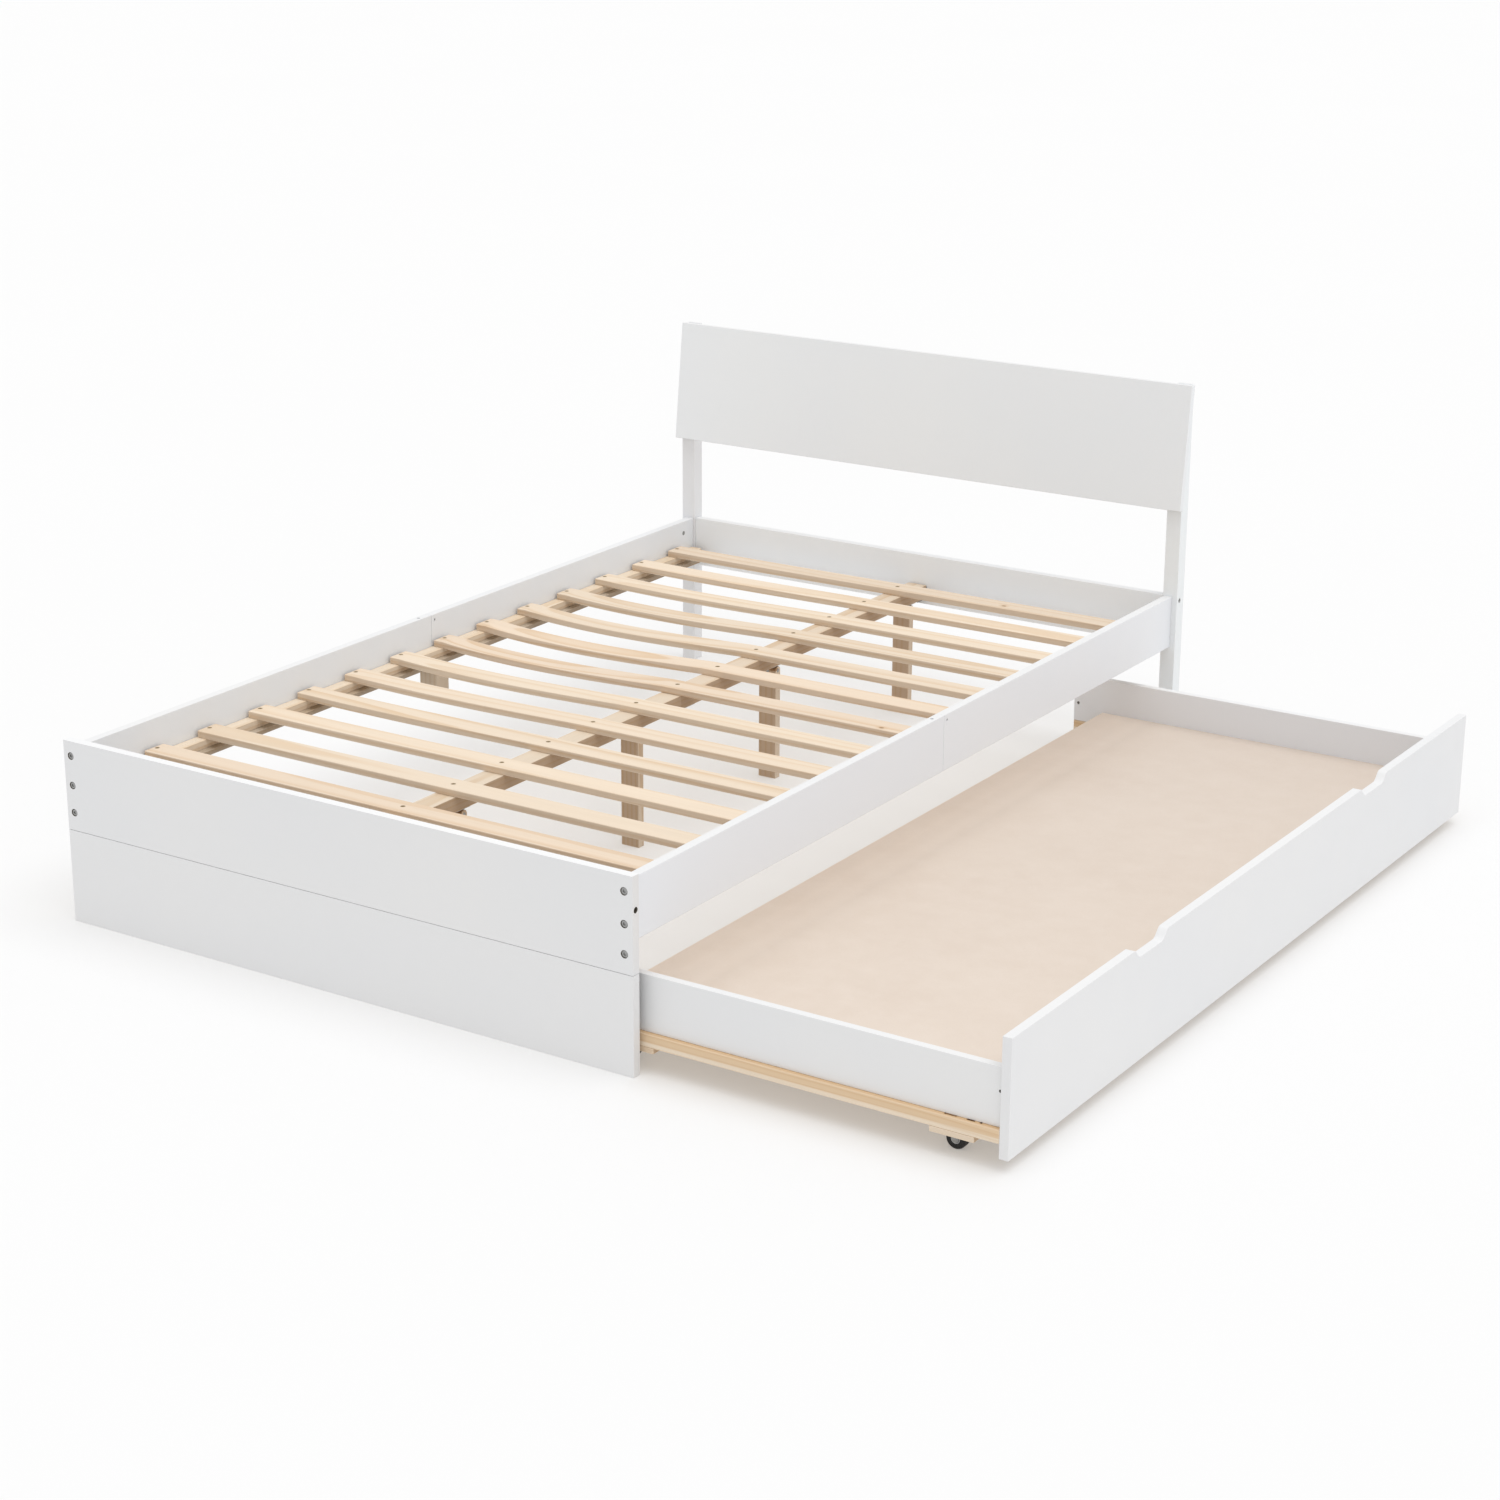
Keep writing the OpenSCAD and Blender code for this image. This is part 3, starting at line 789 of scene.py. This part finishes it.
def board_look(node, draw):
    """Thin pressed wood board: an even buff face with faint clouds, fibres and flecks, and darker edges.
    It has painted light along the side that lies in the bed's shadow, and painted shade that makes it a
    little deeper towards the head."""
    look = Look(node + "_board")
    low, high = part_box(node)
    at = look.drifted(draw)
    cloud = look.noise(3.1, 4, 0.6, at)
    patch = look.noise(22, 3, 0.6, at)
    fleck = look.noise(1, 3, 0.7, look.mapped(scale=(180, 650, 650), at=at))
    tone = look.mix(look.ramp(cloud, 0.3, 0.7), BOARD_LIGHT, BOARD_DEEP)
    tone = look.mix(look.ramp(patch, 0.35, 0.75, 0, 0.5), tone, BOARD_PALE)
    tone = look.mix(look.ramp(fleck, 0.55, 0.8, 0, 0.5), tone, BOARD_FLECK)
    # painted light: paler along the side in the bed's shadow
    painted_light = look.along(0, low.x + PAINTED_LIGHT_END, low.x + PAINTED_LIGHT_FULL)
    tone = look.mix(painted_light, tone, BOARD_PAINTED_LIGHT, "MULTIPLY")
    # painted shade: a little deeper towards the head
    tone = look.mix(look.along(1, low.y, high.y), tone, BOARD_HEAD_SHADE, "MULTIPLY")
    tone = look.mix(look.times(look.upright(), 0.6), tone, BOARD_EDGE)
    look.set(Base_Color=tone)
    look.set(Roughness=look.ramp(fleck, 0.3, 0.7, 0.5, 0.62), Specular_IOR_Level=0.35)
    look.set(Normal=look.bump(fleck, 0.03 * MM))
    return look.material


# ------------------------------------------------------------------------------------- steel and plastic

ZINC = ((0.42, 0.42, 0.415), (0.3, 0.3, 0.295))
YELLOW_ZINC = ((0.42, 0.31, 0.17), (0.3, 0.21, 0.11))
RUBBER = ((0.006, 0.006, 0.007), (0.011, 0.011, 0.012))
HUB_GREY = ((0.52, 0.53, 0.54), (0.44, 0.45, 0.46))


def steel_look(name, draw, light, dark):
    """Plated steel: spangled tone, brushed roughness and fine scratches."""
    look = Look(name)
    at = look.drifted(draw)
    spangle = look.noise(160, 3, 0.6, at)
    brushed = look.noise(1, 3, 0.7, look.mapped(scale=(90, 90, 2600), at=at))
    look.set(Base_Color=look.mix(look.ramp(spangle, 0.3, 0.7), light, dark), Metallic=1.0)
    look.set(Roughness=look.ramp(brushed, 0.25, 0.75, 0.3, 0.48))
    look.set(Normal=look.bump(brushed, 0.01 * MM))
    return look.material


def plastic_look(name, draw, light, dark, gloss, grain):
    """Moulded plastic or rubber: two close tones, moulding texture and scuffs."""
    look = Look(name)
    at = look.drifted(draw)
    skin = look.noise(grain, 3, 0.6, at)
    scuff = look.noise(110, 4, 0.7, at)
    tone = look.mix(look.ramp(skin, 0.3, 0.7), light, dark)
    scuffed = [c * 1.5 + 0.01 for c in light]
    look.set(Base_Color=look.mix(look.ramp(scuff, 0.6, 0.8, 0, 0.4), tone, scuffed))
    look.set(Roughness=look.ramp(scuff, 0.3, 0.7, gloss, gloss + 0.14))
    look.set(Normal=look.bump(skin, 0.03 * MM))
    return look.material


# ------------------------------------------------------------------------------------------------ pieces


def finish_mesh(name, node, bm, material):
    """Makes bm the piece that stands for a CAD node: it rides on the node's body and takes the given
    material.
    """
    bmesh.ops.recalc_face_normals(bm, faces=bm.faces)
    mesh = bpy.data.meshes.new(name)
    for face in bm.faces:
        face.smooth = True
    for edge in bm.edges:
        edge.smooth = not (edge.is_manifold and edge.calc_face_angle(0) > SHARP)
    bm.to_mesh(mesh)
    bm.free()
    mesh.materials.append(material)
    obj = bpy.data.objects.new(name, mesh)
    bpy.context.scene.collection.objects.link(obj)
    normals = obj.modifiers.new("normals", "WEIGHTED_NORMAL")
    normals.keep_sharp = True
    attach(obj, BODY_OF[node])
    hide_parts(node)


steel = steel_look("zinc_steel_look", drawer("steel"), *ZINC)
yellow_steel = steel_look("yellow_steel_look", drawer("screws"), *YELLOW_ZINC)
rubber = plastic_look("tyre_rubber_look", drawer("rubber"), *RUBBER, gloss=0.5, grain=700)
moulded = plastic_look("hub_plastic_look", drawer("hub"), *HUB_GREY, gloss=0.38, grain=500)

WHEEL_PARTS = {"castor_tyre": (tyre, rubber), "castor_hub": (hub, moulded)}
FASTENERS = {
    "frame_bolts": (add_bolt, steel),
    "trundle_bolts": (add_bolt, steel),
    "wood_screws": (add_screw, yellow_steel),
}
WOOD_LOOKS = {"white_paint": paint_look, "pine": pine_look, "birch_board": board_look}


def finished(node, slot):
    """The mesh and the material of the piece that stands for a CAD node."""
    if slot in WHEEL_PARTS:
        make, material = WHEEL_PARTS[slot]
        return make(node), material
    if node in FASTENERS:
        add, material = FASTENERS[node]
        return fasteners(node, add), material
    bm = eased(node, of_kind(node, NODE_EDGES, EDGES[slot]))
    if slot in WOOD_LOOKS:
        return bm, WOOD_LOOKS[slot](node, drawer(node))
    return bm, steel


for node in sorted(NODES):
    slot = SLOT_OF[node]
    bm, material = finished(node, slot)
    finish_mesh(node + "_finished", node, bm, material)

# ----------------------------------------------------------------------------------- floor, light, camera

FLOOR_TONE = (0.565, 0.58, 0.6)
# The floor's glow is painted light: it lifts the shadows on the floor and, being warmer than its cool tone,
# warms them
FLOOR_GLOW = (0.305, 0.287, 0.263, 1)
FLOOR_HALF = 60  # half the floor's width
WORLD_LIGHT = 0.75
KEY_LIGHT = 1.48
KEY_FROM = (0.27, -0.05, 1)
KEY_SPREAD = math.radians(60)

CAMERA_AT = Vector((2.9778, -4.8529, 2.1411))
CAMERA_YAW, CAMERA_PITCH, CAMERA_ROLL = 0.592, 0.325, -0.002  # to the left, downwards, and about its view
CAMERA_LENS, CAMERA_SENSOR = 74.30, 36
CAMERA_SHIFT = (0.0406, 0.0013)


def floor_look():
    """A pale studio floor: a matt sheet with faint clouds and a soft glow of its own."""
    look = Look("floor_look")
    clouded = [c * 0.995 for c in FLOOR_TONE]
    tone = look.mix(look.ramp(look.noise(0.7), 0.3, 0.7), FLOOR_TONE, clouded)
    look.set(Base_Color=tone, Roughness=0.9, Specular_IOR_Level=0.1)
    look.set(Emission_Color=FLOOR_GLOW, Emission_Strength=1.0)
    return look.material


def camera_axes():
    """The camera's right, up and back directions."""
    flat = math.cos(CAMERA_PITCH)
    ahead = Vector(
        (
            -math.sin(CAMERA_YAW) * flat,
            math.cos(CAMERA_YAW) * flat,
            -math.sin(CAMERA_PITCH),
        )
    )
    right = ahead.cross(Vector((0, 0, 1))).normalized()
    up = right.cross(ahead)
    c, s = math.cos(CAMERA_ROLL), math.sin(CAMERA_ROLL)
    return right * c + up * s, up * c - right * s, -ahead


floor_mesh = bpy.data.meshes.new("floor")
corners = [(x * FLOOR_HALF, y * FLOOR_HALF, 0) for x, y in ((-1, -1), (1, -1), (1, 1), (-1, 1))]
floor_mesh.from_pydata(corners, [], [(0, 1, 2, 3)])
floor_mesh.materials.append(floor_look())
floor = bpy.data.objects.new("floor", floor_mesh)
bpy.context.scene.collection.objects.link(floor)

world = bpy.data.worlds.new("studio")
world.use_nodes = True
background = world.node_tree.nodes["Background"]
background.inputs["Color"].default_value = (1, 1, 1, 1)
background.inputs["Strength"].default_value = WORLD_LIGHT
bpy.context.scene.world = world

key = bpy.data.lights.new("key", "SUN")
key.energy = KEY_LIGHT
key.angle = KEY_SPREAD
key_object = bpy.data.objects.new("key", key)
key_object.rotation_euler = Vector(KEY_FROM).to_track_quat("Z", "Y").to_euler()
bpy.context.scene.collection.objects.link(key_object)

camera_data = bpy.data.cameras.new("camera")
camera_data.lens = CAMERA_LENS
camera_data.sensor_width = CAMERA_SENSOR
camera_data.shift_x, camera_data.shift_y = CAMERA_SHIFT
camera_data.clip_end = 200
camera = bpy.data.objects.new("camera", camera_data)
camera.matrix_world = Matrix.Translation(CAMERA_AT) @ Matrix(camera_axes()).transposed().to_4x4()
bpy.context.scene.collection.objects.link(camera)
bpy.context.scene.camera = camera
bpy.context.scene.view_settings.view_transform = "Standard"
